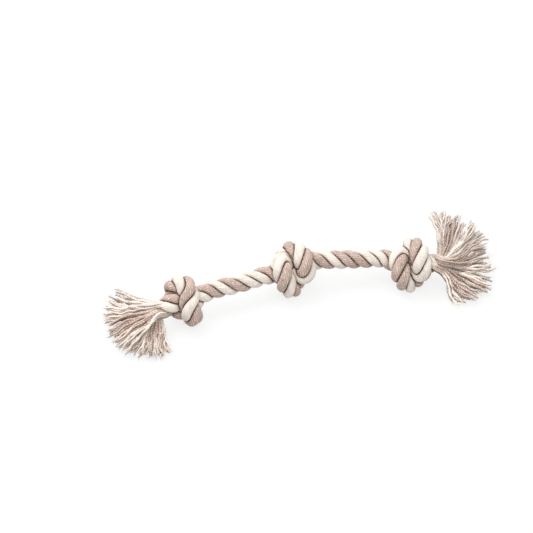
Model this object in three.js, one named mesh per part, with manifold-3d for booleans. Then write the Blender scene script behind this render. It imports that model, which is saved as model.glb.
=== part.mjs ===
// Three-knot rope toy for dogs, lying on a floor, in millimetres, +Z up, +X from left to right knot.
// Three cotton strands are laid into one rope (a right-handed lay), tied into three overhand knots and
// unlaid at both ends into fanned tassels. Every strand is its own piece all the way along. It is
// divided where the rope bends: knots, runs and tassels keep their shape, and short bends join them.

import * as THREE from 'three';
import { mergeVertices } from 'three/addons/utils/BufferGeometryUtils.js';
import Module from 'manifold-3d';

const wasm = await Module();
wasm.setup();

// Rope
const ropeDiameter = 15;
const layLength = 32;
const strandNames = ['a', 'b', 'c'];
const runStrandOffset = 3.85;
const runStrandRadius = 4;
const knotStrandOffset = 4.1;
const knotStrandRadius = 4.6;
const strandGap = 0.7;
const nearShare = 2.5;
const ownTurnShare = 3.2;
const cutGap = 0.3;
const bendLimitShare = 0.85;
const sharpness = 8;
const steepShare = 0.9;

// Facets
const ringSpacing = 3;
const ringSides = 8;
const routeStepsPerPoint = 12;

// Knots: plan distance from the middle knot, plan heading of the rope through each, the knot's own turn
// from that heading, roll about the rope, tilt within the knot, how much it is pulled together along and
// across, its height, and how far the lay has turned on there, in degrees
const leftKnotDistance = 95.2;
const rightKnotDistance = 101.3;
const leftHeading = 10.8;
const rightHeading = -8.8;
const middleHeading = 0;
const leftTurn = 9.1;
const middleTurn = 2.9;
const rightTurn = -11.6;
const leftRoll = 134.4;
const middleRoll = -49.7;
const rightRoll = -41.8;
const leftTilt = -28.1;
const middleTilt = -22.5;
const rightTilt = -29.1;
const leftKnotShares = [0.81, 0.86, 0.78];
const middleKnotShares = [1.47, 0.96, 0.83];
const rightKnotShares = [1.36, 0.9, 0.81];
const leftKnotHeight = 21.1;
const middleKnotHeight = 20.2;
const rightKnotHeight = 20;
const leftLayLead = 117;
const middleLayLead = 22;
const rightLayLead = -8;
const middleKnotX = -2.2;
const middleKnotY = 20.6;

// Where the rope comes in and goes out beside each knot's own line, in rope diameters: across to the
// left and up
const leftInShares = [-0.01, -0.17];
const leftOutShares = [0.31, -0.07];
const middleInShares = [-0.14, 0.06];
const middleOutShares = [0.13, 0.36];
const rightInShares = [0.63, 0.03];
const rightOutShares = [-0.09, 0.09];

// One half of an overhand knot's route, in rope diameters: along the rope, across and up. The other
// half is the same route turned half a turn about the across axis. The rope leaves on its own line.
const exitShare = 1.3;
const knotRouteShares = [
  [0, 0.69, 0],
  [-0.12, 0.68, -0.8],
  [-0.59, 0.21, -1.22],
  [-0.82, -0.67, -0.87],
  [-0.46, -0.99, 0],
  [-0.2, -0.45, 0.92],
  [0.33, 0.09, 0.19],
];

// Runs between the knots, and the short leads to the tassels
const runPoints = 4;
const leftRunBow = 2;
const rightRunBow = 1;
const leadPoints = 4;
const leadStep = 11;
const leadDrop = 1.2;

// In a knot and at the tassels the lay opens and the strands swell; this far from a knot's middle, in
// route points, they start to draw in, and here they are as thin as in the run
const swellStartShare = 5.5;
const swellEndShare = 8;

// Where the rope is divided, in route points from a knot's middle
const knotEndShare = 6.9;
const bendEndShare = 8.1;
const neckEndShare = 7.4;

// Tassels: heading of the fan, half its spread, and each strand's locks
const leftFanHeading = 208;
const rightFanHeading = 8;
const leftFanSpread = 62;
const rightFanSpread = 68;
const lockLength = 46;
const lockRadius = 3.1;
const lockSides = 6;
const lockRings = 9;
const lockStepsPerRing = 4;
const stemSteps = 3;
const lockInset = 2;
const rootLength = 6;
const rootTipShare = 0.7;
const lockStartShare = 0.6;
const lockTipShare = 0.4;
const lockBulgeShare = 0.35;
const lockLeadShare = 0.17;
const lockTailShare = 0.45;

// Each lock in shares: of the fan's half spread, of the lock length, and of the lock length again for
// the height of its tip
const lockShares = {
  left: [
    [[0.05, 1.05, 0.16], [0.2, 1, 0.24], [-0.1, 0.95, 0.3], [-0.25, 0.9, 0.18]],
    [[0.55, 0.98, 0.2], [0.75, 1, 0.08], [1, 0.95, 0.1], [0.85, 0.85, 0.24]],
    [[-1, 0.95, 0.12], [-0.55, 1.02, 0.18], [-0.75, 0.88, 0.28], [-0.3, 1, 0.32]],
  ],
  right: [
    [[-0.35, 1, 0.28], [-0.6, 0.95, 0.18], [-0.85, 0.95, 0.12], [-1.05, 0.85, 0.1]],
    [[1, 0.95, 0.68], [0.8, 1, 0.48], [0.6, 0.95, 0.28], [0.9, 0.8, 0.52]],
    [[0.4, 1, 0.22], [0.15, 1.05, 0.2], [0.25, 0.9, 0.3], [-0.1, 1, 0.2]],
  ],
};

// Foot: the knots are pressed flat where they lie
const floorCutMargin = 20;

// Looks
const cream = 0xf0e6d7;
const taupe = 0xbea596;
const clothRoughness = 0.95;

const radians = THREE.MathUtils.degToRad;
const up = new THREE.Vector3(0, 0, 1);

function knot({ distance, heading, side, turn, roll, tilt, shares, height, comesIn, goesOut }) {
  const angle = radians(heading);
  const centre = new THREE.Vector3(
    middleKnotX + side * distance * Math.cos(angle),
    middleKnotY + side * distance * Math.sin(angle),
    height,
  );
  const placing = new THREE.Matrix4().makeRotationZ(radians(heading + turn))
    .multiply(new THREE.Matrix4().makeRotationX(radians(roll)))
    .multiply(new THREE.Matrix4().makeScale(...shares))
    .multiply(new THREE.Matrix4().makeRotationY(radians(tilt)));
  const along = new THREE.Vector3(Math.cos(angle), Math.sin(angle), 0);
  const across = new THREE.Vector3().crossVectors(up, along);
  const place = ([x, y, z]) => new THREE.Vector3(x, y, z)
    .multiplyScalar(ropeDiameter).applyMatrix4(placing).add(centre);
  const half = knotRouteShares.map(place);
  const other = knotRouteShares.slice(1).reverse().map(([x, y, z]) => place([-x, y, -z]));
  const beside = (sign, [sideways, rise]) => centre.clone()
    .addScaledVector(along, sign * exitShare * ropeDiameter)
    .addScaledVector(across, sideways * ropeDiameter)
    .addScaledVector(up, rise * ropeDiameter);
  return { centre, along, points: [beside(-1, comesIn), ...other, ...half, beside(1, goesOut)] };
}

// Points between two others, evenly spaced, bowed sideways by a half wave
function runBetween(start, end, count, bow) {
  const side = new THREE.Vector3().subVectors(end, start).cross(up).normalize();
  const points = [];
  for (let i = 1; i <= count; i += 1) {
    const t = i / (count + 1);
    points.push(start.clone().lerp(end, t).addScaledVector(side, bow * Math.sin(Math.PI * t)));
  }
  return points;
}

// Points that lead on from an end knot, away from the rope
function lead(from, direction) {
  const points = [];
  for (let i = 1; i <= leadPoints; i += 1) {
    const point = from.clone().addScaledVector(direction, leadStep * i);
    point.z -= leadDrop * i;
    points.push(point);
  }
  return points;
}

const leftKnot = knot({
  distance: leftKnotDistance,
  heading: leftHeading,
  side: -1,
  turn: leftTurn,
  roll: leftRoll,
  tilt: leftTilt,
  shares: leftKnotShares,
  height: leftKnotHeight,
  comesIn: leftInShares,
  goesOut: leftOutShares,
});
const middleKnot = knot({
  distance: 0,
  heading: middleHeading,
  side: 1,
  turn: middleTurn,
  roll: middleRoll,
  tilt: middleTilt,
  shares: middleKnotShares,
  height: middleKnotHeight,
  comesIn: middleInShares,
  goesOut: middleOutShares,
});
const rightKnot = knot({
  distance: rightKnotDistance,
  heading: rightHeading,
  side: 1,
  turn: rightTurn,
  roll: rightRoll,
  tilt: rightTilt,
  shares: rightKnotShares,
  height: rightKnotHeight,
  comesIn: rightInShares,
  goesOut: rightOutShares,
});

const first = (points) => points[0];
const last = (points) => points[points.length - 1];
const route = [
  ...lead(first(leftKnot.points), leftKnot.along.clone().negate()).reverse(),
  ...leftKnot.points,
  ...runBetween(last(leftKnot.points), first(middleKnot.points), runPoints, leftRunBow),
  ...middleKnot.points,
  ...runBetween(last(middleKnot.points), first(rightKnot.points), runPoints, rightRunBow),
  ...rightKnot.points,
  ...lead(last(rightKnot.points), rightKnot.along),
];
const halfKnot = knotRouteShares.length;
const leftMiddle = leadPoints + halfKnot;
const middleMiddle = leftMiddle + 2 * halfKnot + 1 + runPoints;
const rightMiddle = middleMiddle + 2 * halfKnot + 1 + runPoints;

// A uniform cubic B-spline over the route points
function splinePoint(points, place) {
  const i = Math.min(Math.max(Math.floor(place), 1), points.length - 3);
  const t = place - i;
  const weights = [
    (1 - t) ** 3 / 6,
    (3 * t ** 3 - 6 * t ** 2 + 4) / 6,
    (-3 * t ** 3 + 3 * t ** 2 + 3 * t + 1) / 6,
    t ** 3 / 6,
  ];
  const point = new THREE.Vector3();
  weights.forEach((weight, k) => point.addScaledVector(points[i - 1 + k], weight));
  return point;
}

// The rope's centreline with a frame that never twists, carried along by double reflection
function centreline(points) {
  const count = (points.length - 3) * routeStepsPerPoint + 1;
  const samples = [];
  for (let i = 0; i < count; i += 1) {
    const place = 1 + i / routeStepsPerPoint;
    samples.push({ place, point: splinePoint(points, place) });
  }
  samples.forEach((sample, i) => {
    const before = samples[Math.max(i - 1, 0)].point;
    const after = samples[Math.min(i + 1, count - 1)].point;
    sample.tangent = new THREE.Vector3().subVectors(after, before).normalize();
  });
  const start = samples[0].tangent;
  samples[0].across = up.clone().addScaledVector(start, -start.z).normalize();
  samples[0].arc = 0;
  for (let i = 1; i < count; i += 1) {
    const a = samples[i - 1];
    const b = samples[i];
    const step = new THREE.Vector3().subVectors(b.point, a.point);
    const mirror = 2 / step.lengthSq();
    const across = a.across.clone().addScaledVector(step, -mirror * step.dot(a.across));
    const tangent = a.tangent.clone().addScaledVector(step, -mirror * step.dot(a.tangent));
    const turn = new THREE.Vector3().subVectors(b.tangent, tangent);
    if (turn.lengthSq() > 0) across.addScaledVector(turn, -2 / turn.lengthSq() * turn.dot(across));
    b.across = across.normalize();
    b.arc = a.arc + step.length();
  }
  samples.forEach((sample) => {
    sample.other = new THREE.Vector3().crossVectors(sample.tangent, sample.across);
  });
  return samples;
}

// Arc length, tangent and curvature of a list of points
function measured(points) {
  const line = points.map((point) => ({ point }));
  line.forEach((item, i) => {
    item.arc = i ? line[i - 1].arc + item.point.distanceTo(line[i - 1].point) : 0;
    const before = points[Math.max(i - 1, 0)];
    const after = points[Math.min(i + 1, points.length - 1)];
    item.tangent = new THREE.Vector3().subVectors(after, before).normalize();
  });
  line.forEach((item, i) => {
    const before = line[Math.max(i - 1, 0)];
    const after = line[Math.min(i + 1, line.length - 1)];
    const length = after.arc - before.arc;
    item.curve = new THREE.Vector3().subVectors(after.tangent, before.tangent).divideScalar(length);
  });
  return line;
}

// How far the lay has turned on at a place: even between the knots' middles, and held past the end knots
function layLeadAt(place) {
  const [from, to, before, after] = place < middleMiddle
    ? [leftMiddle, middleMiddle, leftLayLead, middleLayLead]
    : [middleMiddle, rightMiddle, middleLayLead, rightLayLead];
  return THREE.MathUtils.lerp(before, after, THREE.MathUtils.clamp((place - from) / (to - from), 0, 1));
}

// 1 in the knots and at the tassels, where the strands are swollen, and 0 along the runs
function swellAt(place) {
  if (place < leftMiddle || place > rightMiddle) return 1;
  const middles = [leftMiddle, middleMiddle, rightMiddle];
  const away = Math.min(...middles.map((middle) => Math.abs(place - middle)));
  return 1 - THREE.MathUtils.smoothstep(away, swellStartShare, swellEndShare);
}

function strandRadiusAt(place) {
  return THREE.MathUtils.lerp(runStrandRadius, knotStrandRadius, swellAt(place));
}

function strandOffsetAt(place) {
  return THREE.MathUtils.lerp(runStrandOffset, knotStrandOffset, swellAt(place));
}

const rope = centreline(route);
const strands = strandNames.map((name, k) => {
  const line = measured(rope.map((sample) => {
    const turns = k / strandNames.length + sample.arc / layLength;
    const angle = radians(layLeadAt(sample.place)) + 2 * Math.PI * turns;
    const offset = strandOffsetAt(sample.place);
    return sample.point.clone()
      .addScaledVector(sample.across, offset * Math.cos(angle))
      .addScaledVector(sample.other, offset * Math.sin(angle));
  }));
  line.forEach((item, i) => { item.place = rope[i].place; });
  return { name, index: k, line };
});

// How far a ring's corner may lie from its centre: half way to every neighbour, less half the gap
function reach(centre, direction, radius, neighbours, curve) {
  let limit = Infinity;
  for (const other of neighbours) {
    const away = new THREE.Vector3().subVectors(other, centre);
    const facing = away.dot(direction);
    const distance = away.length();
    if (facing > 0) limit = Math.min(limit, distance * (distance / 2 - strandGap / 2) / facing);
  }
  const bend = curve.dot(direction);
  if (bend > 0) limit = Math.min(limit, bendLimitShare / bend);
  return (radius ** -sharpness + limit ** -sharpness) ** (-1 / sharpness);
}

// A closed tube through rings; each ring has a centre, a tangent, a curve, a radius and its neighbours
function tube(rings, sides) {
  const positions = [];
  const index = [];
  let across = null;
  rings.forEach((ring) => {
    const seed = across || (Math.abs(ring.tangent.z) < steepShare ? up : new THREE.Vector3(1, 0, 0));
    across = seed.clone().addScaledVector(ring.tangent, -seed.dot(ring.tangent)).normalize();
    const other = new THREE.Vector3().crossVectors(ring.tangent, across);
    for (let j = 0; j < sides; j += 1) {
      const angle = 2 * Math.PI * j / sides;
      const direction = across.clone()
        .multiplyScalar(Math.cos(angle))
        .addScaledVector(other, Math.sin(angle));
      const distance = reach(ring.point, direction, ring.radius, ring.neighbours, ring.curve);
      positions.push(...ring.point.clone().addScaledVector(direction, distance).toArray());
    }
  });
  const corner = (i, j) => i * sides + (j % sides);
  for (let i = 0; i + 1 < rings.length; i += 1) {
    for (let j = 0; j < sides; j += 1) {
      index.push(corner(i, j), corner(i, j + 1), corner(i + 1, j + 1));
      index.push(corner(i, j), corner(i + 1, j + 1), corner(i + 1, j));
    }
  }
  const start = positions.length / 3;
  positions.push(...rings[0].point.toArray(), ...last(rings).point.toArray());
  for (let j = 0; j < sides; j += 1) {
    index.push(start, corner(0, j + 1), corner(0, j));
    index.push(start + 1, corner(rings.length - 1, j), corner(rings.length - 1, j + 1));
  }
  const geometry = new THREE.BufferGeometry();
  geometry.setAttribute('position', new THREE.Float32BufferAttribute(positions, 3));
  geometry.setIndex(index);
  return geometry;
}

function solid(geometry) {
  const bare = geometry.clone();
  bare.deleteAttribute('normal');
  bare.deleteAttribute('uv');
  const merged = mergeVertices(bare);
  return new wasm.Manifold(new wasm.Mesh({
    numProp: 3,
    vertProperties: new Float32Array(merged.attributes.position.array),
    triVerts: new Uint32Array(merged.index.array),
  }));
}

function geometryOf(body) {
  const mesh = body.getMesh();
  const geometry = new THREE.BufferGeometry();
  geometry.setAttribute('position', new THREE.Float32BufferAttribute(mesh.vertProperties, 3));
  geometry.setIndex(Array.from(mesh.triVerts));
  return geometry;
}

// A point of a strand at an arc length
function at(line, arc) {
  let i = 0;
  while (i + 2 < line.length && line[i + 1].arc < arc) i += 1;
  const t = (arc - line[i].arc) / (line[i + 1].arc - line[i].arc);
  return {
    arc,
    place: THREE.MathUtils.lerp(line[i].place, line[i + 1].place, t),
    point: line[i].point.clone().lerp(line[i + 1].point, t),
    tangent: line[i].tangent.clone().lerp(line[i + 1].tangent, t).normalize(),
    curve: line[i].curve.clone().lerp(line[i + 1].curve, t),
  };
}

function arcAt(line, place) {
  const i = Math.min(Math.max(line.findIndex((item) => item.place >= place), 1), line.length - 1);
  const t = (place - line[i - 1].place) / (line[i].place - line[i - 1].place);
  return line[i - 1].arc + t * (line[i].arc - line[i - 1].arc);
}

// Centres of the other strands, and of this strand's own far turns, that lie near a point
function ropeNeighbours(strand, item) {
  const near = [];
  const range = nearShare * knotStrandRadius;
  const ownTurn = ownTurnShare * knotStrandRadius;
  strands.forEach((other) => {
    other.line.forEach((candidate) => {
      const own = other === strand && Math.abs(candidate.arc - item.arc) < ownTurn;
      if (!own && candidate.point.distanceTo(item.point) < range) near.push(candidate.point);
    });
  });
  return near;
}

function strandRings(strand, fromPlace, toPlace) {
  const start = arcAt(strand.line, fromPlace) + cutGap / 2;
  const end = arcAt(strand.line, toPlace) - cutGap / 2;
  const steps = Math.max(Math.round((end - start) / ringSpacing), 1);
  const rings = [];
  for (let i = 0; i <= steps; i += 1) {
    const ring = at(strand.line, start + (end - start) * i / steps);
    ring.radius = strandRadiusAt(ring.place);
    ring.neighbours = ropeNeighbours(strand, ring);
    rings.push(ring);
  }
  return rings;
}

const toy = new THREE.Group();

function add(name, geometry, colour) {
  const material = new THREE.MeshStandardMaterial({
    color: colour,
    roughness: clothRoughness,
    metalness: 0,
  });
  const mesh = new THREE.Mesh(geometry, material);
  mesh.name = name;
  toy.add(mesh);
}

// Everything under the floor plane, to cut the knots flat where they lie
const reachOfToy = leftKnotDistance + rightKnotDistance + 2 * (lockLength + leadStep * leadPoints);
const floorBox = new THREE.BoxGeometry(reachOfToy, reachOfToy, floorCutMargin)
  .translate(middleKnotX, middleKnotY, -floorCutMargin / 2);
const underFloor = solid(floorBox);

// The rope's stretches, from left to right, in places along the route
const stretches = [
  ['left_neck', leftMiddle - neckEndShare, leftMiddle - knotEndShare],
  ['left_knot', leftMiddle - knotEndShare, leftMiddle + knotEndShare],
  ['left_outer_bend', leftMiddle + knotEndShare, leftMiddle + bendEndShare],
  ['left_run', leftMiddle + bendEndShare, middleMiddle - bendEndShare],
  ['left_inner_bend', middleMiddle - bendEndShare, middleMiddle - knotEndShare],
  ['middle_knot', middleMiddle - knotEndShare, middleMiddle + knotEndShare],
  ['right_inner_bend', middleMiddle + knotEndShare, middleMiddle + bendEndShare],
  ['right_run', middleMiddle + bendEndShare, rightMiddle - bendEndShare],
  ['right_outer_bend', rightMiddle - bendEndShare, rightMiddle - knotEndShare],
  ['right_knot', rightMiddle - knotEndShare, rightMiddle + knotEndShare],
  ['right_neck', rightMiddle + knotEndShare, rightMiddle + neckEndShare],
];
const strandColours = [cream, taupe, cream];
for (const [zone, from, to] of stretches) {
  strands.forEach((strand) => {
    const body = solid(tube(strandRings(strand, from, to), ringSides)).subtract(underFloor);
    add(`strand_${strand.name}_${zone}`, geometryOf(body), strandColours[strand.index]);
  });
}

// One lock of a tassel: a cubic curve from the strand's end to the lock's tip
function lockLine(root, direction, heading, [spreadShare, lengthShare, tipShare], spread) {
  const angle = radians(heading + spread * spreadShare);
  const length = lockLength * lengthShare;
  const tipHeight = lockLength * tipShare;
  const drop = root.z - tipHeight;
  const plan = Math.sqrt(Math.max(length ** 2 - drop ** 2, 0));
  const out = new THREE.Vector3(Math.cos(angle), Math.sin(angle), 0);
  const tip = root.clone().addScaledVector(out, plan);
  tip.z = tipHeight;
  const curve = new THREE.CubicBezierCurve3(
    root,
    root.clone().addScaledVector(direction, length * lockLeadShare),
    tip.clone().addScaledVector(out, -length * lockTailShare),
    tip,
  );
  return measured(curve.getPoints(lockStepsPerRing * lockRings));
}

function lockRadiusAt(t) {
  if (t < lockBulgeShare) return lockRadius * (lockStartShare + (1 - lockStartShare) * t / lockBulgeShare);
  return lockRadius * (1 - (1 - lockTipShare) * (t - lockBulgeShare) / (1 - lockBulgeShare));
}

// A tassel: for each strand a short root and its locks, joined, kept clear of the other strands
function tassel(side, place, sign, heading, spread) {
  const ends = strands.map((strand, k) => {
    const item = at(strand.line, arcAt(strand.line, place) + sign * cutGap / 2);
    const direction = item.tangent.clone().multiplyScalar(sign);
    const root = item.point.clone().addScaledVector(direction, lockInset);
    const locks = lockShares[side][k].map((row) => lockLine(root, direction, heading, row, spread));
    const stemPoints = Array.from({ length: stemSteps + 1 }, (_, i) => (
      item.point.clone().addScaledVector(direction, rootLength * i / stemSteps)));
    const stem = measured(stemPoints);
    return { strand, locks, stem };
  });
  const range = nearShare * knotStrandRadius;
  ends.forEach((end) => {
    const others = ends.filter((other) => other !== end)
      .flatMap((other) => [other.stem, ...other.locks]).flat().map((item) => item.point);
    const ropeNear = strands.filter((strand) => strand !== end.strand)
      .flatMap((strand) => strand.line).map((item) => item.point);
    const ring = (item, radius) => ({
      ...item,
      radius,
      neighbours: [...others, ...ropeNear].filter((point) => point.distanceTo(item.point) < range),
    });
    const stemRadiusAt = (t) => knotStrandRadius * (1 - (1 - rootTipShare) * t);
    const stemRings = end.stem.map((item, i) => ring(item, stemRadiusAt(i / stemSteps)));
    let body = solid(tube(stemRings, ringSides));
    end.locks.forEach((lock) => {
      const rings = [];
      for (let i = 0; i <= lockRings; i += 1) {
        const t = i / lockRings;
        const item = at(lock, last(lock).arc * t);
        rings.push(ring(item, lockRadiusAt(t)));
      }
      body = body.add(solid(tube(rings, lockSides)));
    });
    const colour = strandColours[end.strand.index];
    add(`strand_${end.strand.name}_${side}_tassel`, geometryOf(body.subtract(underFloor)), colour);
  });
}

tassel('left', leftMiddle - neckEndShare, -1, leftFanHeading, leftFanSpread);
tassel('right', rightMiddle + neckEndShare, 1, rightFanHeading, rightFanSpread);

export default toy;
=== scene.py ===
"""Looks of a three-knot cotton rope toy: twisted yarns, tied strands and frayed tassels, in metres."""

import math

import bpy
import numpy as np
from mathutils import Matrix, Vector


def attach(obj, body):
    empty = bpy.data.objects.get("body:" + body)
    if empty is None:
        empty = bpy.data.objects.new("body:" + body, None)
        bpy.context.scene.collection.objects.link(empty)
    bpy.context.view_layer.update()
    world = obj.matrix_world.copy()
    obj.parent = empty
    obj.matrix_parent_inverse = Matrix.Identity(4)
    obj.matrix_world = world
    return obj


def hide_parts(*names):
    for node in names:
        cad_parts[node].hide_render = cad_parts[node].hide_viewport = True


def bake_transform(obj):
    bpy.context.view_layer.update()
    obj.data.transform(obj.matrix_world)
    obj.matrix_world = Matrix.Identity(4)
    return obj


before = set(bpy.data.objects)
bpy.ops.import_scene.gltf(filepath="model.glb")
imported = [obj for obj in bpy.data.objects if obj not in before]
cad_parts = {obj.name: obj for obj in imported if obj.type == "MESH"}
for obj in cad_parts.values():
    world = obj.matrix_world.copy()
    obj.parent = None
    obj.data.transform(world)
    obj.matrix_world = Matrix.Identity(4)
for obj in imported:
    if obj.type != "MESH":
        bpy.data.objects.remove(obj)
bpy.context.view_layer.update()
MM = 0.001

# Camera
IMAGE_SIZE = 533
VIEW_AZIMUTH = 12
VIEW_ELEVATION = 45
PIXEL = 0.842 * MM
CAMERA_DISTANCE = 1.5
CAMERA_REACH = 20
SENSOR = 36
AIM_POINT = Vector((-1.1, 18.6, 20)) * MM
AIM_PIXEL = (293, 271)

# Rope, as in the solids
ROPE_DIAMETER = 15 * MM
LAY_LENGTH = 32 * MM
STRANDS = "abc"
RUN_STRAND_OFFSET, RUN_STRAND_RADIUS = 3.85 * MM, 4 * MM
KNOT_STRAND_OFFSET, KNOT_STRAND_RADIUS = 4.1 * MM, 4.6 * MM
SWELL_START, SWELL_END = 5.5, 8
ROUTE_STEPS = 12
BEND_LIMIT = 0.85
SHARPNESS = 8

MIDDLE_PLACE = (-2.2 * MM, 20.6 * MM)
KNOTS = {
    "left": dict(
        side=-1, distance=95.2 * MM, heading=10.8, own_turn=9.1, roll=134.4, tilt=-28.1,
        shares=(0.81, 0.86, 0.78), height=21.1 * MM, comes_in=(-0.01, -0.17), goes_out=(0.31, -0.07)),
    "middle": dict(
        side=1, distance=0, heading=0, own_turn=2.9, roll=-49.7, tilt=-22.5,
        shares=(1.47, 0.96, 0.83), height=20.2 * MM, comes_in=(-0.14, 0.06), goes_out=(0.13, 0.36)),
    "right": dict(
        side=1, distance=101.3 * MM, heading=-8.8, own_turn=-11.6, roll=-41.8, tilt=-29.1,
        shares=(1.36, 0.9, 0.81), height=20 * MM, comes_in=(0.63, 0.03), goes_out=(-0.09, 0.09)),
}
LAY_LEADS = {"left": 117, "middle": 22, "right": -8}
EXIT_SHARE = 1.3
KNOT_ROUTE = np.array([
    [0, 0.69, 0],
    [-0.12, 0.68, -0.8],
    [-0.59, 0.21, -1.22],
    [-0.82, -0.67, -0.87],
    [-0.46, -0.99, 0],
    [-0.2, -0.45, 0.92],
    [0.33, 0.09, 0.19],
])
RUN_POINTS = 4
LEFT_BOW, RIGHT_BOW = 2 * MM, 1 * MM
LEAD_POINTS = 4
LEAD_STEP, LEAD_DROP = 11 * MM, 1.2 * MM
KNOT_END, BEND_END, NECK_END = 6.9, 8.1, 7.4

# Directions, steps along a strand's line for its tangent and its curve, and a guard against division by zero
UPWARDS = np.array([0, 0, 1.0])
STRAND_ACROSS = np.array([0.1, 0.2, 1.0])
TUBE_ACROSS = np.array([0.13, 0.21, 1.0])
TANGENT_STEP, CURVE_STEP = 0.4 * MM, 1.5 * MM
TINY = 1e-9

# Neighbours that press on a strand: how many line points are looked at, how near one counts, the stretch of
# the strand's own line that doesn't, the gap left where strands touch, and a distance past everything
NEAREST_POINTS = 200
NEAR_REACH = 2.5 * KNOT_STRAND_RADIUS
OWN_STRETCH = 3.2 * KNOT_STRAND_RADIUS
TOUCH_GAP = 0.16 * MM
FAR = 1

# Yarns in the laid strands: one yarn's columns are shares of the groove's depth
YARNS = 12
GROOVE_SHAPE = [1, 0.54, 0.19, 0, 0.19, 0.54]
YARN_COLUMNS = len(GROOVE_SHAPE)
COLUMNS = YARN_COLUMNS * YARNS
GROOVES = np.tile(GROOVE_SHAPE, YARNS)
RING_SPACING = 0.8 * MM
YARN_TWIST = 34 * MM
YARN_DEPTH = 0.25 * MM
ROOT_RINGS = 10
ROOT_SHARE = 0.45

# Painted shade from free radii: a dark line where the surface is pressed in, and a soft one where a
# neighbour is near
CONTACT_SHADE_START, CONTACT_SHADE_END = 0.95, 0.8
NEAR_SHADE_START, NEAR_SHADE_END, NEAR_SHADE_DARK = 1.7, 0.95, 0.5

# Fuzz on the laid strands: hairs on every ten rings, and their lengths in millimetres
FUZZ_ON_TEN = 18
FUZZ_MARGIN = 2
FUZZ_RINGS, FUZZ_SIDES = 4, 3
FUZZ_RADIUS = 0.07 * MM
FUZZ_LENGTHS = (1.2, 2.8)
FUZZ_ROOT, FUZZ_FLOOR = 0.2 * MM, 0.1 * MM
FUZZ_RISE, FUZZ_DROOP, FUZZ_LEAN, FUZZ_STRAY = 0.75, 0.45, 0.6, 0.5
FUZZ_TONE = 0.6

# Which colour of yarn a strand turns outwards: taupe share from each route place on
TONES = {
    "a": [(0, 1), (15.6, 0), (18.7, 1), (27.3, 0), (42.5, 1), (54.4, 0)],
    "b": [(0, 1), (8, 0), (12.3, 1), (15.5, 0), (26.5, 1), (33, 0), (36, 1), (43.6, 0), (48, 1)],
    "c": [(0, 0), (6.5, 1), (11.1, 0), (14.7, 1), (19.7, 0), (22.8, 1), (25.5, 0), (30, 1), (36, 0),
          (37.8, 1), (40.5, 0), (41.9, 0.8), (42.8, 0), (54.9, 1)],
}
TONE_BLEND = 0.25

# Tassels: heading and half spread of each fan in degrees, and each strand's locks as shares of the half
# spread, of the lock length, and of the lock length for the tip's height, then taupe share and yarns
LOCK_LENGTH = 44 * MM
LOCK_WIDTH = 5
FANS = {"left": (208, 62), "right": (8, 70)}
LOCKS = {
    "left": {
        "c": [(-1.0, 0.92, 0.38, 0.15, 9), (-0.88, 0.98, 0.32, 0.1, 9), (-0.75, 1.02, 0.26, 0, 9),
              (-0.62, 1.0, 0.22, 0.2, 8)],
        "a": [(-0.49, 1.02, 0.18, 0.9, 8), (-0.36, 1.03, 0.14, 1, 8), (-0.22, 1.0, 0.2, 1, 8),
              (-0.08, 0.98, 0.1, 0.9, 7), (0.06, 0.98, 0.2, 0.15, 7)],
        "b": [(0.18, 0.98, 0.18, 0, 8), (0.31, 0.98, 0.12, 0.1, 8), (0.44, 0.96, 0.1, 0.5, 7),
              (0.57, 0.94, 0.14, 0.9, 7), (0.69, 0.92, 0.1, 0.6, 7), (0.81, 0.9, 0.08, 0.9, 6),
              (0.93, 0.86, 0.06, 0.5, 6)],
    },
    "right": {
        "b": [(1.0, 1.0, 0.86, 0.05, 9), (0.88, 1.06, 0.8, 0.45, 9), (0.76, 1.14, 0.7, 0.95, 9),
              (0.64, 1.2, 0.6, 0.75, 8)],
        "c": [(0.5, 1.24, 0.5, 0.05, 8), (0.37, 1.26, 0.42, 0, 8), (0.24, 1.24, 0.34, 0.55, 8),
              (0.11, 1.16, 0.26, 0.95, 8), (-0.02, 1.1, 0.22, 0.5, 7)],
        "a": [(-0.16, 1.08, 0.2, 0.05, 8), (-0.32, 1.05, 0.16, 0.05, 8), (-0.5, 1.02, 0.14, 0.8, 8),
              (-0.68, 0.93, 0.12, 0.95, 7), (-0.88, 0.86, 0.1, 0.9, 7), (-1.08, 0.76, 0.08, 0.3, 6)],
    },
}

# Loose yarns: two plies each, their seats in the cut section, and how each one leaves it and reaches its tip
YARN_RADIUS = 1.12 * MM
YARN_RINGS, YARN_SIDES = 64, 8
PLIES = 2
PLY_PITCH = 5 * MM
PLY_WAIST, PLY_BULGE = 0.8, 0.3
SEAT_MARGIN = 1.2 * YARN_RADIUS
GOLDEN_ANGLE = 2.39996
ROOT_SPREAD = 0.15
HEADING_STRAY = 0.9
LENGTH_SHARES = (0.9, 1.05)
TIP_STRAY, TIP_FLOOR = 1.8 * MM, 1.2 * MM
LEAST_REACH = 1 * MM
LEAVING_SHARE, ARRIVING_SHARE, SAG_SHARE = 0.2, 0.45, 0.08

# Waves of the locks and of single yarns, and how a yarn's width and tone change from root to tip
WAVE_START = 0.1
LOCK_SWING, LOCK_SWING_WAVES, YARN_SWING = 2.1 * MM, 1.2, 0.7 * MM
LOCK_LIFT, LOCK_LIFT_WAVES, YARN_LIFT = 1.1 * MM, 1.4, 0.6 * MM
YARN_WAVES = (3, 4.6)
YARN_TAPER = ([0, 0.3, 0.8, 0.94, 1], [0.72, 1, 1, 0.8, 0.4])
YARN_FADE = ([0, 0.7, 1], [1, 1, 0.55])
YARN_WIDTHS = (0.85, 1.1)
TAUPE_YARN, CREAM_YARN = (0.75, 1), (0, 0.15)
# Painted shade in the furrows between the plies of the loose yarns
FURROW_SHADE_GAIN = 1.2
# Painted shade on each loose yarn's sides, where it lies beside its neighbours, none on its top and bottom
SIDE_SHADE, SIDE_FALL = 0.72, 0.9

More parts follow.
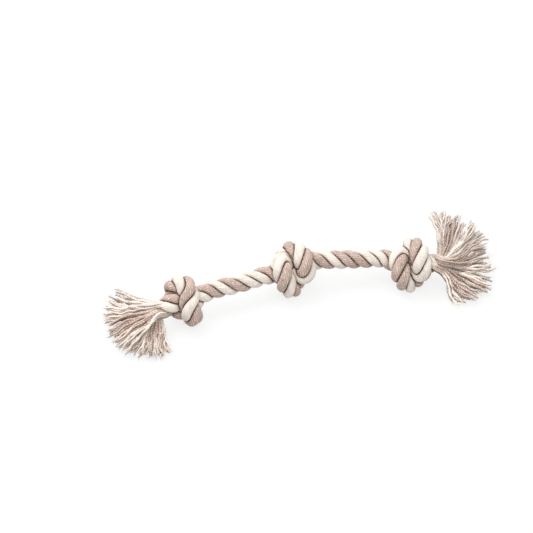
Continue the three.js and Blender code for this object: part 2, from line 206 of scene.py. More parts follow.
# Hairs at the frayed tips: places along a yarn, and lengths and radii in millimetres
HAIRS = 12
HAIR_RINGS, HAIR_SIDES = 5, 3
HAIR_PLACES = (0.84, 0.99)
HAIR_STRAY, HAIR_CURL = 0.3, 0.35
HAIR_LENGTHS = (2.5, 5.5)
HAIR_RADII = (0.18, 0.07)
HAIR_FLOOR = 0.4 * MM
HAIR_TONE = 0.5

# Cotton: the noises' scale and detail, then what each adds to the brightness or to the painted shade, and
# what taupe adds to it
CREAM = (0.92, 0.845, 0.765)
TAUPE = (0.67, 0.525, 0.45)
PATCHES, FLECKS, FIBRES = (110.0, 2.0), (750.0, 3.0), (2600.0, 2.0)
SPECK_GAIN, SPECK_START, SPECK_SHARE = 6, 3.2, 0.5
MEAN_LIGHT = 1.02
PATCH_LIGHT = 0.3
FLECK_LIGHT, TAUPE_FLECK_LIGHT = 0.85, 1.3
PLY_LIGHT, TAUPE_PLY_LIGHT = 0.03, 0.04
# Painted shade in the grooves between yarns, broken into flecks, stronger on taupe
GROOVE_SHADE, TAUPE_GROOVE_SHADE = 0.12, 0.28
GROOVE_SHADE_GAIN, GROOVE_SHADE_START, GROOVE_SHADE_LIMIT = 7.0, 2.6, 0.7
CONTACT_SHADE_STRENGTH, DARKEST_SHADE = 0.95, 0.92
SHADE_TINT = (0.86, 1.0, 1.05)
ROUGHNESS, SPECULAR, SHEEN = 0.92, 0.2, 0.1
BUMP_STRENGTH, PLY_BUMP = 0.7, 0.5

# Stage
WHITE = (1, 1, 1)
FLOOR_GREY = (0.6, 0.6, 0.6)
FLOOR_SIZE = 6
FLOOR_WHITE_SHARE = 0.8
SKY_STRENGTH = 0.64
LAMP_SIZE = 1.2
LAMPS = {"key": ((-0.45, 0.5, 1.2), 11), "fill": ((0.1, -0.6, 1.3), 5)}

SEED = 7
STRAND_SEED_STEP = 10
SIDE_SEEDS = {"left": 0, "right": 50}


def place_camera():
    """A long lens at the photograph's angle; the aim point lands on its own pixel."""
    azimuth, elevation = math.radians(VIEW_AZIMUTH), math.radians(VIEW_ELEVATION)
    level = math.cos(elevation)
    look = Vector((math.sin(azimuth) * level, math.cos(azimuth) * level, -math.sin(elevation)))
    right = Vector((math.cos(azimuth), -math.sin(azimuth), 0))
    up = right.cross(look)
    half = IMAGE_SIZE / 2
    target = AIM_POINT - right * (AIM_PIXEL[0] - half) * PIXEL - up * (half - AIM_PIXEL[1]) * PIXEL
    data = bpy.data.cameras.new("camera")
    data.sensor_width = SENSOR
    data.lens = SENSOR * CAMERA_DISTANCE / (IMAGE_SIZE * PIXEL)
    data.clip_end = CAMERA_REACH
    camera = bpy.data.objects.new("camera", data)
    turned = Matrix((right, up, -look)).transposed().to_4x4()
    camera.matrix_world = Matrix.Translation(target - look * CAMERA_DISTANCE) @ turned
    bpy.context.scene.collection.objects.link(camera)
    bpy.context.scene.camera = camera


def turn(axis, degrees):
    """Rotation matrix about x, y or z."""
    return np.array(Matrix.Rotation(math.radians(degrees), 3, axis))


def knot_points(side, distance, heading, own_turn, roll, tilt, shares, height, comes_in, goes_out):
    """The knot's route: one given half, tilted, pulled together, rolled and turned, and its half turn,
    between the points where the rope comes in and goes out, a little across and up from the knot's line."""
    along = turn("Z", heading) @ np.array([1, 0, 0])
    centre = np.array([*MIDDLE_PLACE, height]) + side * distance * along
    matrix = turn("Z", heading + own_turn) @ turn("X", roll) @ np.diag(shares) @ turn("Y", tilt)
    half = KNOT_ROUTE * ROPE_DIAMETER @ matrix.T + centre
    other = (KNOT_ROUTE[:0:-1] * [-1, 1, -1]) * ROPE_DIAMETER @ matrix.T + centre
    aside, up = np.cross([0, 0, 1], along), np.array([0, 0, 1])
    start, end = (centre + (sign * along * EXIT_SHARE + aside * across + up * rise) * ROPE_DIAMETER
                  for sign, (across, rise) in ((-1, comes_in), (1, goes_out)))
    return np.vstack([start, other, half, end]), along


def run_points(start, end, bow):
    """Evenly spaced points between two knots, bowed sideways by a half wave."""
    t = np.arange(1, RUN_POINTS + 1)[:, None] / (RUN_POINTS + 1)
    side = np.cross(end - start, [0, 0, 1])
    return start + (end - start) * t + side / np.linalg.norm(side) * bow * np.sin(math.pi * t)


def lead_points(start, direction):
    """Points that lead on from an end knot, a little down."""
    t = np.arange(1, LEAD_POINTS + 1)[:, None]
    return start + direction * LEAD_STEP * t - np.array([0, 0, LEAD_DROP]) * t


def unit(vectors):
    """Vectors divided by their own lengths, along the last axis."""
    return vectors / np.linalg.norm(vectors, axis=-1, keepdims=True)


def dot(a, b):
    """Dot products of two arrays of vectors, with the last axis kept."""
    return np.sum(a * b, -1, keepdims=True)


def spline(points):
    """Uniform cubic B-spline over the points: places along it and the points there."""
    count = (len(points) - 3) * ROUTE_STEPS + 1
    place = 1 + np.arange(count) / ROUTE_STEPS
    i = np.clip(np.floor(place).astype(int), 1, len(points) - 3)
    t = (place - i)[:, None]
    weights = [(1 - t) ** 3 / 6, (3 * t**3 - 6 * t**2 + 4) / 6, (-3 * t**3 + 3 * t**2 + 3 * t + 1) / 6,
               t**3 / 6]
    return place, sum(w * points[i - 1 + k] for k, w in enumerate(weights))


def tangents(points):
    """Central differences along the second last axis, as unit vectors."""
    ahead = np.concatenate([points[..., 1:, :], points[..., -1:, :]], axis=-2)
    behind = np.concatenate([points[..., :1, :], points[..., :-1, :]], axis=-2)
    return unit(ahead - behind)


def carried_across(points, tangent, first):
    """A direction across the line that never twists round it, carried from ring to ring by two mirrors: one
    half way along the step, and one that turns the mirrored tangent on to the next ring's own."""
    across = np.empty_like(points)
    across[..., 0, :] = unit(first - tangent[..., 0, :] * dot(first, tangent[..., 0, :]))
    for i in range(1, points.shape[-2]):
        step = points[..., i, :] - points[..., i - 1, :]
        mirror = 2 / dot(step, step)
        before, heading = across[..., i - 1, :], tangent[..., i - 1, :]
        flipped = before - mirror * dot(step, before) * step
        headed = heading - mirror * dot(step, heading) * step
        bend = tangent[..., i, :] - headed
        size = np.maximum(dot(bend, bend), TINY**2)
        across[..., i, :] = unit(flipped - 2 / size * dot(bend, flipped) * bend)
    return across


def arc_of(points):
    """Length along a line at each of its points."""
    return np.concatenate([[0], np.cumsum(np.linalg.norm(np.diff(points, axis=0), axis=1))])


def smooth_between(known, values, wanted):
    """Values at wanted places on a smooth cubic through the known ones."""
    i = np.clip(np.searchsorted(known, wanted) - 1, 1, len(known) - 3)
    t = ((wanted - known[i]) / (known[i + 1] - known[i]))[:, None]
    a, b, c, d = (values[i + k] for k in (-1, 0, 1, 2))
    return b + t / 2 * (c - a + t * (2 * a - 5 * b + 4 * c - d + t * (3 * (b - c) + d - a)))


place_camera()

knots = {name: knot_points(**facts) for name, facts in KNOTS.items()}
route = np.vstack([
    lead_points(knots["left"][0][0], -knots["left"][1])[::-1], knots["left"][0],
    run_points(knots["left"][0][-1], knots["middle"][0][0], LEFT_BOW), knots["middle"][0],
    run_points(knots["middle"][0][-1], knots["right"][0][0], RIGHT_BOW), knots["right"][0],
    lead_points(knots["right"][0][-1], knots["right"][1]),
])
HALF_KNOT = len(KNOT_ROUTE)
LEFT = LEAD_POINTS + HALF_KNOT
MIDDLE = LEFT + 2 * HALF_KNOT + 1 + RUN_POINTS
RIGHT = MIDDLE + 2 * HALF_KNOT + 1 + RUN_POINTS
MIDDLES = {"left": LEFT, "middle": MIDDLE, "right": RIGHT}

rope_place, rope_points = spline(route)
rope_tangent = tangents(rope_points)
rope_across = carried_across(rope_points, rope_tangent, UPWARDS)
rope_other = np.cross(rope_tangent, rope_across)
rope_arc = arc_of(rope_points)


def swell_at(place):
    """1 in the knots and at the tassels, where the lay opens and the strands swell, and 0 along the runs."""
    away = np.min([np.abs(place - middle) for middle in MIDDLES.values()], axis=0)
    t = np.clip((away - SWELL_START) / (SWELL_END - SWELL_START), 0, 1)
    return np.where((place < LEFT) | (place > RIGHT), 1, 1 - t * t * (3 - 2 * t))


def strand_line(k):
    """A strand's line: a circle of the lay round the rope's centreline, one turn in every lay length, plus
    the lay's own lead, which is even between the knots' middles."""
    lead = np.radians(np.interp(rope_place, list(MIDDLES.values()), list(LAY_LEADS.values())))
    angle = (2 * math.pi * (k / len(STRANDS) + rope_arc / LAY_LENGTH) + lead)[:, None]
    swell = swell_at(rope_place)[:, None]
    offset = RUN_STRAND_OFFSET + (KNOT_STRAND_OFFSET - RUN_STRAND_OFFSET) * swell
    return rope_points + offset * (rope_across * np.cos(angle) + rope_other * np.sin(angle))


strand_lines = [strand_line(k) for k in range(len(STRANDS))]
strand_arcs = [arc_of(line) for line in strand_lines]
strand_across = [carried_across(line, tangents(line), STRAND_ACROSS) for line in strand_lines]


def strand_rings(k, from_place, to_place):
    """Evenly spaced rings of one strand: centres, arc lengths, route places, tangents, curves and two
    directions across, which are the whole strand's own, so that the yarns run on from piece to piece."""
    line, arc = strand_lines[k], strand_arcs[k]
    start, end = np.interp([from_place, to_place], rope_place, arc)
    where = np.linspace(start, end, int(round((end - start) / RING_SPACING)) + 1)

    def at(step):
        """The strand's line, a step along it from each ring."""
        return smooth_between(arc, line, where + step)

    centre = at(0)
    curve = (at(CURVE_STEP) + at(-CURVE_STEP) - 2 * centre) / CURVE_STEP**2
    tangent = unit(at(TANGENT_STEP) - at(-TANGENT_STEP))
    across = smooth_between(arc, strand_across[k], where)
    across = unit(across - tangent * dot(across, tangent))
    place = np.interp(where, arc, rope_place)
    radius = RUN_STRAND_RADIUS + (KNOT_STRAND_RADIUS - RUN_STRAND_RADIUS) * swell_at(place)
    return dict(centre=centre, arc=where, place=place, tangent=tangent, curve=curve, radius=radius,
                across=across, other=np.cross(tangent, across))


def squeezed(k, rings, directions):
    """How far each ring's surface lies from its centre along each direction: the free radius, or half way to
    the nearest neighbouring strand line in that direction less half the gap, or short of the inside of a
    bend, whichever is least, with the corner between them rounded; and the room without the free radius."""
    radius = rings["radius"][:, None]
    points = np.vstack(strand_lines)
    owner = np.repeat(np.arange(len(STRANDS)), [len(line) for line in strand_lines])
    arcs = np.concatenate(strand_arcs)
    away = points[None] - rings["centre"][:, None]
    distance = np.linalg.norm(away, axis=2)
    distance[(owner == k)[None] & (np.abs(arcs[None] - rings["arc"][:, None]) < OWN_STRETCH)] = FAR
    near = np.argpartition(distance, NEAREST_POINTS, axis=1)[:, :NEAREST_POINTS]
    distance = np.take_along_axis(distance, near, axis=1)
    away = np.take_along_axis(away, near[..., None], axis=1)
    facing = np.einsum("rkc,rsc->rks", away, directions)
    room = (distance * (distance - TOUCH_GAP) / 2)[..., None] / np.maximum(facing, TINY)
    limit = np.where((facing > TINY) & (distance < NEAR_REACH)[..., None], room, FAR).min(axis=1)
    bend = np.einsum("rc,rsc->rs", rings["curve"], directions)
    limit = np.minimum(limit, np.where(bend > 0, BEND_LIMIT / np.maximum(bend, TINY), FAR))
    return (radius**-SHARPNESS + limit**-SHARPNESS) ** (-1 / SHARPNESS), limit


def grid_faces(rings, sides):
    """Quads between rings of a tube: each corner, the next one round, and the same two a ring further on."""
    i, j = np.meshgrid(np.arange(rings - 1), np.arange(sides), indexing="ij")
    n = (j + 1) % sides
    here, there = i * sides, (i + 1) * sides
    return np.stack([here + j, here + n, there + n, there + j], -1).reshape(-1, 4)


def many_quads(lines, rings, sides):
    """The quads of many equal tubes, one after the other, and their end caps."""
    base = grid_faces(rings, sides)
    quads = (base[None] + (np.arange(lines) * rings * sides)[:, None, None]).reshape(-1, 4)
    first = np.arange(lines)[:, None] * rings * sides
    last = first + (rings - 1) * sides
    caps = [*(first + np.arange(sides)[::-1]).tolist(), *(last + np.arange(sides)).tolist()]
    return quads, caps


def tubes(points, radius, sides, phase):
    """Many tubes at once: rings round each line, wide over the plies and narrow between them, as the plies
    wind round each other; and lengths along the lines, depths between the plies and each corner's rise."""
    tangent = tangents(points)
    across = carried_across(points, tangent, TUBE_ACROSS + np.zeros_like(points[:, 0]))
    other = np.cross(tangent, across)
    step = np.linalg.norm(np.diff(points, axis=1), axis=2)
    arc = np.concatenate([np.zeros((len(points), 1)), np.cumsum(step, axis=1)], axis=1)
    around = 2 * math.pi * np.arange(sides) / sides
    wound = PLIES / 2 * (around[None, None] - (2 * math.pi * arc / PLY_PITCH + phase[:, None])[..., None])
    width = radius[..., None] * (PLY_WAIST + PLY_BULGE * np.abs(np.cos(wound)))
    angle = around[None, None, :, None]
    ring = across[:, :, None] * np.cos(angle) + other[:, :, None] * np.sin(angle)
    return points[:, :, None] + ring * width[..., None], arc, 1 - np.abs(np.cos(wound)), ring[..., 2]


def new_piece(name, points, quads, caps, attributes, uv, material):
    """A mesh object from arrays: smooth quads, flat end caps, float attributes on points and a UV map, whose
    first value counts yarns round a tube and runs on to the next whole number where the tube closes."""
    mesh = bpy.data.meshes.new(name)
    faces = [*quads.tolist(), *caps]
    mesh.from_pydata(points.tolist(), [], faces)
    mesh.polygons.foreach_set("use_smooth", np.arange(len(faces)) < len(quads))
    for key, values in attributes.items():
        layer = mesh.attributes.new(key, "FLOAT", "POINT")
        layer.data.foreach_set("value", values.astype(np.float32).ravel())
    corner = np.empty(len(mesh.loops), int)
    mesh.loops.foreach_get("vertex_index", corner)
    layer = mesh.uv_layers.new(name="thread")
    corner_uv = uv[corner]
    around = corner_uv[:4 * len(quads)].reshape(-1, 4, 2)[..., 0]
    behind = around.max(axis=1, keepdims=True) - around
    around += np.where(behind > 1, np.ceil(behind), 0)
    layer.data.foreach_set("uv", corner_uv.astype(np.float32).ravel())
    mesh.materials.append(material)
    piece = bpy.data.objects.new(name, mesh)
    bpy.context.scene.collection.objects.link(piece)
    return piece


class Value:
    """A shader socket on which arithmetic adds Math nodes."""

    tree = None

    def __init__(self, socket):
        self.socket = socket

    @classmethod
    def node(cls, kind, settings=None, **inputs):
        """One node of a kind, its settings first and then its inputs, by name or _number."""
        made = cls.tree.nodes.new(kind)
        for key, value in (settings or {}).items():
            setattr(made, key, value)
        for key, value in inputs.items():
            socket = made.inputs[int(key[1:])] if key[0] == "_" else made.inputs[key.replace("_", " ")]
            if isinstance(value, Value):
                cls.tree.links.new(value.socket, socket)
            else:
                socket.default_value = value
        return made

    def math(self, operation, other=0.0):
        """One Math node on this socket and another value."""
        return Value(Value.node("ShaderNodeMath", {"operation": operation}, _0=self, _1=other).outputs[0])

    def __add__(self, other): return self.math("ADD", other)
    def __radd__(self, other): return self.math("ADD", other)
    def __mul__(self, other): return self.math("MULTIPLY", other)
    def __rmul__(self, other): return self.math("MULTIPLY", other)
    def __sub__(self, other): return self.math("SUBTRACT", other)
    def __rsub__(self, other): return self.math("MULTIPLY", -1.0) + other


def mixed(factor, a, b, blend="MIX"):
    """Two colours mixed by a factor."""
    node = Value.node("ShaderNodeMix", {"data_type": "RGBA", "blend_type": blend})
    for socket, value in ((node.inputs[0], factor), (node.inputs[6], a), (node.inputs[7], b)):
        if isinstance(value, Value):
            Value.tree.links.new(value.socket, socket)
        else:
            socket.default_value = value if isinstance(value, float) else (*value, 1)
    return Value(node.outputs[2])


def cotton(name, ply_pitch, depth, variety):
    """Cotton yarn: cream to taupe by the tone attribute, with cream specks; its brightness is uneven
    in patches, from yarn to yarn, in flecks and along the plies; painted shade, tinted warm, darkens it in
    the grooves between yarns, broken into flecks, and most where strands press together and along the sides
    of loose yarns; the plies' twist, a sine round and along the yarn, and fine fibres are in the bump."""
    material = bpy.data.materials.new(name)
    material.use_nodes = True
    Value.tree = material.node_tree
    shader = material.node_tree.nodes["Principled BSDF"]
    coordinates = Value(Value.node("ShaderNodeTexCoord").outputs["Object"])

    def attribute(key):
        """A float attribute of the mesh."""
        return Value(Value.node("ShaderNodeAttribute", {"attribute_name": key}).outputs["Fac"])

    def noise(scale, detail):
        """Noise on Object coordinates."""
        made = Value.node("ShaderNodeTexNoise", Vector=coordinates, Scale=scale, Detail=detail)
        return Value(made.outputs[0])

    tone, groove, contact_shade, shade = (attribute(key) for key in ("tone", "groove", "contact_shade", "shade"))
    thread = Value(Value.node("ShaderNodeUVMap", {"uv_map": "thread"}).outputs[0])
    around, along = (Value(output) for output in Value.node("ShaderNodeSeparateXYZ", _0=thread).outputs[:2])
    patches, flecks, fibres = noise(*PATCHES), noise(*FLECKS), noise(*FIBRES)
    plies = ((around + along * (1 / ply_pitch)) * (2 * math.pi)).math("SINE")
    specks = (flecks * SPECK_GAIN - SPECK_START).math("MAXIMUM", 0.0).math("MINIMUM", 1.0)
    colour = mixed(tone * (1 - specks * SPECK_SHARE), CREAM, TAUPE)
    light = MEAN_LIGHT + (patches - 0.5) * PATCH_LIGHT + (shade - 0.5) * variety
    light = light + (flecks - 0.5) * (FLECK_LIGHT + tone * TAUPE_FLECK_LIGHT)
    light = light + plies * (PLY_LIGHT + tone * TAUPE_PLY_LIGHT)
    # Painted shade: in the grooves between yarns, where strands press together and on loose yarns' sides,
    # tinted warm
    groove_shade = groove * (GROOVE_SHADE + tone * TAUPE_GROOVE_SHADE) * (flecks * GROOVE_SHADE_GAIN - GROOVE_SHADE_START)
    groove_shade = groove_shade.math("MINIMUM", GROOVE_SHADE_LIMIT)
    painted_shade = (groove_shade + contact_shade * CONTACT_SHADE_STRENGTH).math("MINIMUM", DARKEST_SHADE).math("MAXIMUM", 0.0)
    red, green, blue = (light * (1 - painted_shade * share) for share in SHADE_TINT)
    shaded = Value(Value.node("ShaderNodeCombineXYZ", _0=red, _1=green, _2=blue).outputs[0])
    colour = mixed(1.0, colour, shaded, "MULTIPLY")
    material.node_tree.links.new(colour.socket, shader.inputs["Base Color"])
    shader.inputs["Roughness"].default_value = ROUGHNESS
    shader.inputs["Specular IOR Level"].default_value = SPECULAR
    shader.inputs["Sheen Weight"].default_value = SHEEN
    height = plies * PLY_BUMP + fibres
    bump = Value.node("ShaderNodeBump", Height=height, Distance=depth, Strength=BUMP_STRENGTH)
    material.node_tree.links.new(bump.outputs[0], shader.inputs["Normal"])
    return material


strand_cotton = cotton("laid_cotton", ply_pitch=2.2 * MM, depth=0.15 * MM, variety=0.14)
yarn_cotton = cotton("loose_cotton", ply_pitch=2.0 * MM, depth=0.1 * MM, variety=0.5)


def tone_at(strand, place):
    """The taupe share along a strand: steps at listed places, each softened over a short stretch."""
    table = TONES[strand]
    tone = np.full(place.shape, float(table[0][1]))
    for (_, before), (start, after) in zip(table, table[1:]):
        t = np.clip((place - start) / TONE_BLEND + 0.5, 0, 1)
        tone += (after - before) * t * t * (3 - 2 * t)
    return tone


def fuzz_on(points, directions, tangent, random):
    """Short fine hairs that leave a strand's surface at random corners and lean over along it."""
    row = random.integers(FUZZ_MARGIN, len(points) - FUZZ_MARGIN, FUZZ_ON_TEN * len(points) // 10)
    column = random.integers(0, COLUMNS, len(row))
    root, out, ahead = points[row, column], directions[row, column], tangent[row]
    lean = random.normal(0, 1, (len(row), 1)) * ahead + FUZZ_STRAY * random.normal(0, 1, (len(row), 3))
    length = random.uniform(*FUZZ_LENGTHS, (len(row), 1, 1)) * MM
    t = np.linspace(0, 1, FUZZ_RINGS)[None, :, None]
    rise = FUZZ_RISE * t * (1 - FUZZ_DROOP * t)
    grown = (out[:, None] * rise + lean[:, None] * t * FUZZ_LEAN) * length
    hair = root[:, None] - FUZZ_ROOT * out[:, None] + grown
    hair[..., 2] = np.maximum(hair[..., 2], FUZZ_FLOOR)
    return hair, row, column


def strand_piece(name, k, from_place, to_place, tassel_end):
    """A laid strand between two places of the route: rings whose columns follow the yarns' own twist,
    pressed against the neighbours, grooved between the yarns, and thinned towards a tassel's end ring."""
    rings = strand_rings(k, from_place, to_place)
    count = len(rings["arc"])
    angle = 2 * math.pi * (np.arange(COLUMNS)[None] / COLUMNS - rings["arc"][:, None] / YARN_TWIST)[..., None]
    directions = rings["across"][:, None] * np.cos(angle) + rings["other"][:, None] * np.sin(angle)
    thinned = np.ones(count)
    if tassel_end is not None:
        from_tassel = np.abs(rings["arc"] - rings["arc"][tassel_end])
        thinned = np.interp(from_tassel, [0, ROOT_RINGS * RING_SPACING], [ROOT_SHARE, 1])
    reach, limit = squeezed(k, rings, directions)
    reach = reach * thinned[:, None]
    free = (rings["radius"] * thinned)[:, None]
    depth = YARN_DEPTH * GROOVES[None] * (reach / free)
    points = rings["centre"][:, None] + directions * (reach - depth)[..., None]
    points[..., 2] = np.maximum(points[..., 2], 0)

    random = np.random.default_rng(SEED + k + int(from_place))
    hair, row, column = fuzz_on(points, directions, rings["tangent"], random)
    thin = np.full(hair.shape[:2], FUZZ_RADIUS)
    hair_points, _, _, _ = tubes(hair, thin, FUZZ_SIDES, np.zeros(len(hair)))
    hair_quads, hair_caps = many_quads(len(hair), FUZZ_RINGS, FUZZ_SIDES)
    first = count * COLUMNS
    caps = [list(range(COLUMNS))[::-1], list(range(first - COLUMNS, first))]
    caps += [[corner + first for corner in cap] for cap in hair_caps]

    yarn_shade = np.random.default_rng(SEED + k).random(YARNS)
    shade = np.repeat(yarn_shade, YARN_COLUMNS)[None] + np.zeros((count, 1))
    groove = GROOVES[None] + np.zeros((count, 1))
    # Painted shade: a dark line where a neighbour presses the surface in, and a soft shade where one is near
    line = np.clip((CONTACT_SHADE_START * free - reach) / ((CONTACT_SHADE_START - CONTACT_SHADE_END) * free), 0, 1)
    near_shade = np.clip((NEAR_SHADE_START - limit / free) / (NEAR_SHADE_START - NEAR_SHADE_END), 0, 1)
    contact_shade = np.clip(line + NEAR_SHADE_DARK * near_shade * near_shade, 0, 1)
    tone = tone_at(STRANDS[k], rings["place"])[:, None] + np.zeros((1, COLUMNS))
    around = np.arange(COLUMNS)[None] / YARN_COLUMNS + np.zeros((count, 1))
    along = rings["arc"][:, None] + np.zeros((1, COLUMNS))

    def with_hair(values, share=1):
        """The strand's values, then a share of the root corner's for each corner of a hair."""
        return np.append(values, np.repeat(values[row, column] * share, FUZZ_RINGS * FUZZ_SIDES))

    attributes = dict(tone=with_hair(tone, FUZZ_TONE), groove=with_hair(groove, 0), contact_shade=with_hair(contact_shade, 0),
                      shade=with_hair(shade))
    piece = new_piece(
        name, np.vstack([points.reshape(-1, 3), hair_points.reshape(-1, 3)]),
        np.vstack([grid_faces(count, COLUMNS), hair_quads + first]), caps, attributes,
        np.stack([with_hair(around), with_hair(along)], -1), strand_cotton)
    return piece, rings


def yarn_lines(side, k, rings, random):
    """Lines of a strand's loose yarns: each leaves its own seat in the strand's cut section along the strand
    and bends out to its lock's tip; a lock waves as one, and each yarn a little more towards its tip."""
    sign = -1 if side == "left" else 1
    root = np.arange(ROOT_RINGS)[::-1] if side == "left" else np.arange(-ROOT_RINGS, 0)
    centres, across, other = (rings[key][root] for key in ("centre", "across", "other"))
    centre, tangent = centres[-1], rings["tangent"][root[-1]] * sign
    heading, spread = FANS[side]
    locks = LOCKS[side][STRANDS[k]]
    owner = np.concatenate([np.full(row[4], i) for i, row in enumerate(locks)])
    offset = np.concatenate([random.permutation(np.linspace(-1, 1, row[4])) for row in locks])
    angle_share, length_share, height_share, taupe_share = np.array([row[:4] for row in locks])[owner].T
    count = len(owner)
    stray = random.normal(0, HEADING_STRAY, count)
    direction = np.radians(heading + spread * angle_share + LOCK_WIDTH * offset + stray)
    out = np.stack([np.cos(direction), np.sin(direction), np.zeros(count)], -1)

    seat = np.arange(count)
    away = (KNOT_STRAND_RADIUS - SEAT_MARGIN) * np.sqrt((seat + 0.5) / count)
    s = np.linspace(0, 1, ROOT_RINGS)[None]
    wound = 2 * math.pi * (ROOT_RINGS - 1) * RING_SPACING / YARN_TWIST * (s - s * s / 2)
    angle = ((seat * GOLDEN_ANGLE + k)[:, None] - sign * wound)[..., None]
    away = away[:, None] * (1 + ROOT_SPREAD * s)
    shift = (across * np.cos(angle) + other * np.sin(angle)) * away[..., None]
    sideways = np.array([-math.sin(math.radians(heading)), math.cos(math.radians(heading)), 0])
    seated = np.empty(count, int)
    seated[np.argsort(direction)] = np.argsort(shift[:, -1] @ sideways)
    shift = shift[seated]
    laid = centres[None] + shift

    length = LOCK_LENGTH * length_share * random.uniform(*LENGTH_SHARES, count)
    tip_height = np.maximum(LOCK_LENGTH * height_share + random.normal(0, TIP_STRAY, count), TIP_FLOOR)
    plan = np.sqrt(np.maximum(length**2 - (centre[2] - tip_height) ** 2, LEAST_REACH**2))
    tip = centre + shift[:, -1] + out * plan[:, None]
    tip[:, 2] = tip_height
    sag = UPWARDS * (length * SAG_SHARE)[:, None]
    t = np.linspace(0, 1, YARN_RINGS - ROOT_RINGS + 1)[None, :, None]
    a, b = laid[:, -1:], laid[:, -1:] + (tangent * (length * LEAVING_SHARE)[:, None])[:, None]
    c, d = (tip - out * (length * ARRIVING_SHARE)[:, None] + sag)[:, None], tip[:, None]
    line = a * (1 - t) ** 3 + 3 * b * t * (1 - t) ** 2 + 3 * c * t**2 * (1 - t) + d * t**3
    forward = tangents(line)
    beside = unit(np.cross(forward, UPWARDS))
    above = np.cross(beside, forward)

    t = t[..., 0]
    own = random.uniform(0, 2 * math.pi, (3, count))[:, :, None]
    shared = random.uniform(0, 2 * math.pi, (2, len(locks)))[:, owner, None]
    waves = random.uniform(*YARN_WAVES, count)[:, None]
    grow = np.clip(t - WAVE_START, 0, 1)

    def wave(number, start):
        """A sine with this number of waves from root to tip."""
        return np.sin(2 * math.pi * number * t + start)

    swing = grow * (LOCK_SWING * wave(LOCK_SWING_WAVES, shared[0]) + YARN_SWING * wave(waves, own[0]))
    lift = grow * (LOCK_LIFT * wave(LOCK_LIFT_WAVES, shared[1]) + YARN_LIFT * wave(waves, own[1]))
    line = line + beside * swing[..., None] + above * lift[..., None]
    line[..., 2] = np.maximum(line[..., 2], YARN_RADIUS)
    is_taupe = random.random(count) < taupe_share
    tone = np.where(is_taupe, random.uniform(*TAUPE_YARN, count), random.uniform(*CREAM_YARN, count))
    return np.concatenate([laid[:, :-1], line], axis=1), tone, own[2, :, 0]


def hair_lines(line, random):
    """Fine hairs that leave each yarn near its tip and spread a little past it."""
    count = len(line)
    where = random.uniform(*HAIR_PLACES, (count, HAIRS))
    place = (where * (YARN_RINGS - 1)).astype(int)
    root = np.take_along_axis(line, place[..., None], axis=1)
    forward = np.take_along_axis(tangents(line), place[..., None], axis=1)
    aim = unit(forward + random.normal(0, HAIR_STRAY, (count, HAIRS, 3)))
    curl = random.normal(0, HAIR_CURL, (count, HAIRS, 3))
    length = random.uniform(*HAIR_LENGTHS, (count, HAIRS, 1, 1)) * MM
    t = np.linspace(0, 1, HAIR_RINGS)[None, None, :, None]
    hair = root[:, :, None] + (aim[:, :, None] * t + curl[:, :, None] * t**2 * 0.5) * length
    hair[..., 2] = np.maximum(hair[..., 2], HAIR_FLOOR)
    return hair.reshape(-1, HAIR_RINGS, 3)


def tassel_piece(name, side, k, rings):
    """A strand unlaid into yarns, each of two plies and tapered, with hairs at the frayed tips."""
    random = np.random.default_rng(SEED + STRAND_SEED_STEP * k + SIDE_SEEDS[side])
    line, own_tone, phase = yarn_lines(side, k, rings, random)
    count = len(line)
    t = np.concatenate([np.zeros(ROOT_RINGS - 1), np.linspace(0, 1, YARN_RINGS - ROOT_RINGS + 1)])
    radius = YARN_RADIUS * np.interp(t, *YARN_TAPER)[None] * random.uniform(*YARN_WIDTHS, count)[:, None]
    points, arc, furrow, rise = tubes(line, radius, YARN_SIDES, phase)
    quads, caps = many_quads(count, YARN_RINGS, YARN_SIDES)
    shade = random.random(count)
    hair = hair_lines(line, random)
    thin = np.linspace(*HAIR_RADII, HAIR_RINGS) * MM + np.zeros((len(hair), 1))
    hair_points, hair_arc, _, _ = tubes(hair, thin, HAIR_SIDES, np.zeros(len(hair)))
    more_quads, more_caps = many_quads(len(hair), HAIR_RINGS, HAIR_SIDES)
    first = count * YARN_RINGS * YARN_SIDES
    caps += [[corner + first for corner in cap] for cap in more_caps]

    def joined(yarn, hairs):
        """Values at the yarns' corners, then at the hairs'."""
        return np.concatenate([
            (yarn + np.zeros(points.shape[:3])).ravel(), (hairs + np.zeros(hair_points.shape[:3])).ravel()])

    def on_hairs(values):
        """Each yarn's value, once for each of its hairs."""
        return np.repeat(values, HAIRS)[:, None, None]

    tone = own_tone[:, None] * np.interp(t, *YARN_FADE)[None]
    # The ply furrows and each yarn's sides, where it lies beside its neighbours, get painted shade
    attributes = dict(
        tone=joined(tone[..., None], on_hairs(own_tone) * HAIR_TONE),
        groove=joined(furrow * FURROW_SHADE_GAIN, 0),
        contact_shade=joined(np.clip(SIDE_SHADE - SIDE_FALL * np.abs(rise), 0, 1), 0),
        shade=joined(shade[:, None, None], on_hairs(shade)))
    around = joined(np.arange(YARN_SIDES)[None, None] / YARN_SIDES * PLIES, 0)
    along = joined(arc[..., None], hair_arc[..., None])
    return new_piece(
        name, np.vstack([points.reshape(-1, 3), hair_points.reshape(-1, 3)]),
        np.vstack([quads, more_quads + first]), caps, attributes, np.stack([around, along], -1), yarn_cotton)


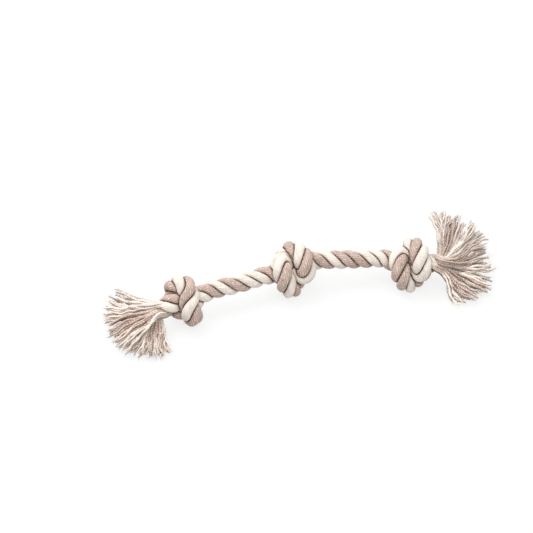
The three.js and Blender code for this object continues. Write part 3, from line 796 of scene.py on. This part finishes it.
# Each strand's pieces: the places of the route that a piece lies between, its joint and the solids' zones
LEFT_RUN, RIGHT_RUN = (LEFT + MIDDLE) / 2, (MIDDLE + RIGHT) / 2
STRETCHES = [
    ("left_end", LEFT - NECK_END, LEFT, "left_tassel_flap", ["left_neck"]),
    ("left_knot_side", LEFT, LEFT_RUN, "left_knot_lift", ["left_knot", "left_outer_bend"]),
    ("left_middle_side", LEFT_RUN, MIDDLE, "left_rope_sway", ["left_run", "left_inner_bend"]),
    ("right_middle_side", MIDDLE, RIGHT_RUN, "right_rope_sway", ["middle_knot", "right_inner_bend"]),
    ("right_knot_side", RIGHT_RUN, RIGHT, "right_knot_lift", ["right_run", "right_outer_bend"]),
    ("right_end", RIGHT, RIGHT + NECK_END, "right_tassel_flap", ["right_knot", "right_neck"]),
]
TASSEL_ENDS = {"left_end": 0, "right_end": -1}


for k, strand in enumerate(STRANDS):
    for name, start, stop, joint_name, zones in STRETCHES:
        piece, rings = strand_piece(f"{name}_{strand}", k, start, stop, TASSEL_ENDS.get(name))
        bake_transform(piece)
        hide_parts(*[f"strand_{strand}_{zone}" for zone in zones])
        if name in TASSEL_ENDS:
            side = name.split("_")[0]
            tassel = tassel_piece(f"{side}_fringe_{strand}", side, k, rings)
            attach(tassel, f"{side}_tassel")
            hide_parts(f"strand_{strand}_{side}_tassel")


def seen_share():
    """1 for camera, glossy and transmitted rays, and 0 for all other light."""
    rays = Value.node("ShaderNodeLightPath").outputs
    return Value(rays["Is Camera Ray"]) + Value(rays["Is Glossy Ray"]) + Value(rays["Is Transmission Ray"])


def floor_material():
    """White matt floor that keeps a faint soft shadow: camera, glossy and transmitted rays see it mixed with
    plain white, and all other light sees it plain grey."""
    material = bpy.data.materials.new("white_floor")
    material.use_nodes = True
    nodes, links = material.node_tree.nodes, material.node_tree.links
    Value.tree = material.node_tree
    shader = nodes["Principled BSDF"]
    shader.inputs["Roughness"].default_value = 1
    shader.inputs["Specular IOR Level"].default_value = 0
    seen = seen_share()
    links.new(mixed(seen, FLOOR_GREY, WHITE).socket, shader.inputs["Base Color"])
    white = Value.node("ShaderNodeEmission", Color=(*WHITE, 1), Strength=1.0)
    total = Value.node("ShaderNodeMixShader", _0=seen * FLOOR_WHITE_SHARE)
    links.new(shader.outputs[0], total.inputs[1])
    links.new(white.outputs[0], total.inputs[2])
    links.new(total.outputs[0], nodes["Material Output"].inputs[0])
    return material


def add_stage():
    """A wide white floor, a soft key lamp from behind on the left, a softer fill from the camera's side, and
    an even sky that camera, glossy and transmitted rays see as white."""
    mesh = bpy.data.meshes.new("floor")
    corners = [(x * FLOOR_SIZE, y * FLOOR_SIZE, 0) for x, y in ((-1, -1), (1, -1), (1, 1), (-1, 1))]
    mesh.from_pydata(corners, [], [(0, 1, 2, 3)])
    mesh.materials.append(floor_material())
    floor = bpy.data.objects.new("floor", mesh)
    bpy.context.scene.collection.objects.link(floor)
    for name, (place, energy) in LAMPS.items():
        light = bpy.data.lights.new(name, "AREA")
        light.shape = "DISK"
        light.size = LAMP_SIZE
        light.energy = energy
        lamp = bpy.data.objects.new(name, light)
        place = Vector(place)
        aimed = (-place).to_track_quat("-Z", "Y").to_matrix().to_4x4()
        lamp.matrix_world = Matrix.Translation(place) @ aimed
        bpy.context.scene.collection.objects.link(lamp)
    world = bpy.data.worlds.new("sky")
    bpy.context.scene.world = world
    world.use_nodes = True
    Value.tree = world.node_tree
    background = world.node_tree.nodes["Background"]
    background.inputs[0].default_value = (*WHITE, 1)
    strength = SKY_STRENGTH + seen_share() * (1 - SKY_STRENGTH)
    world.node_tree.links.new(strength.socket, background.inputs[1])


add_stage()
bpy.context.scene.view_settings.view_transform = "Standard"
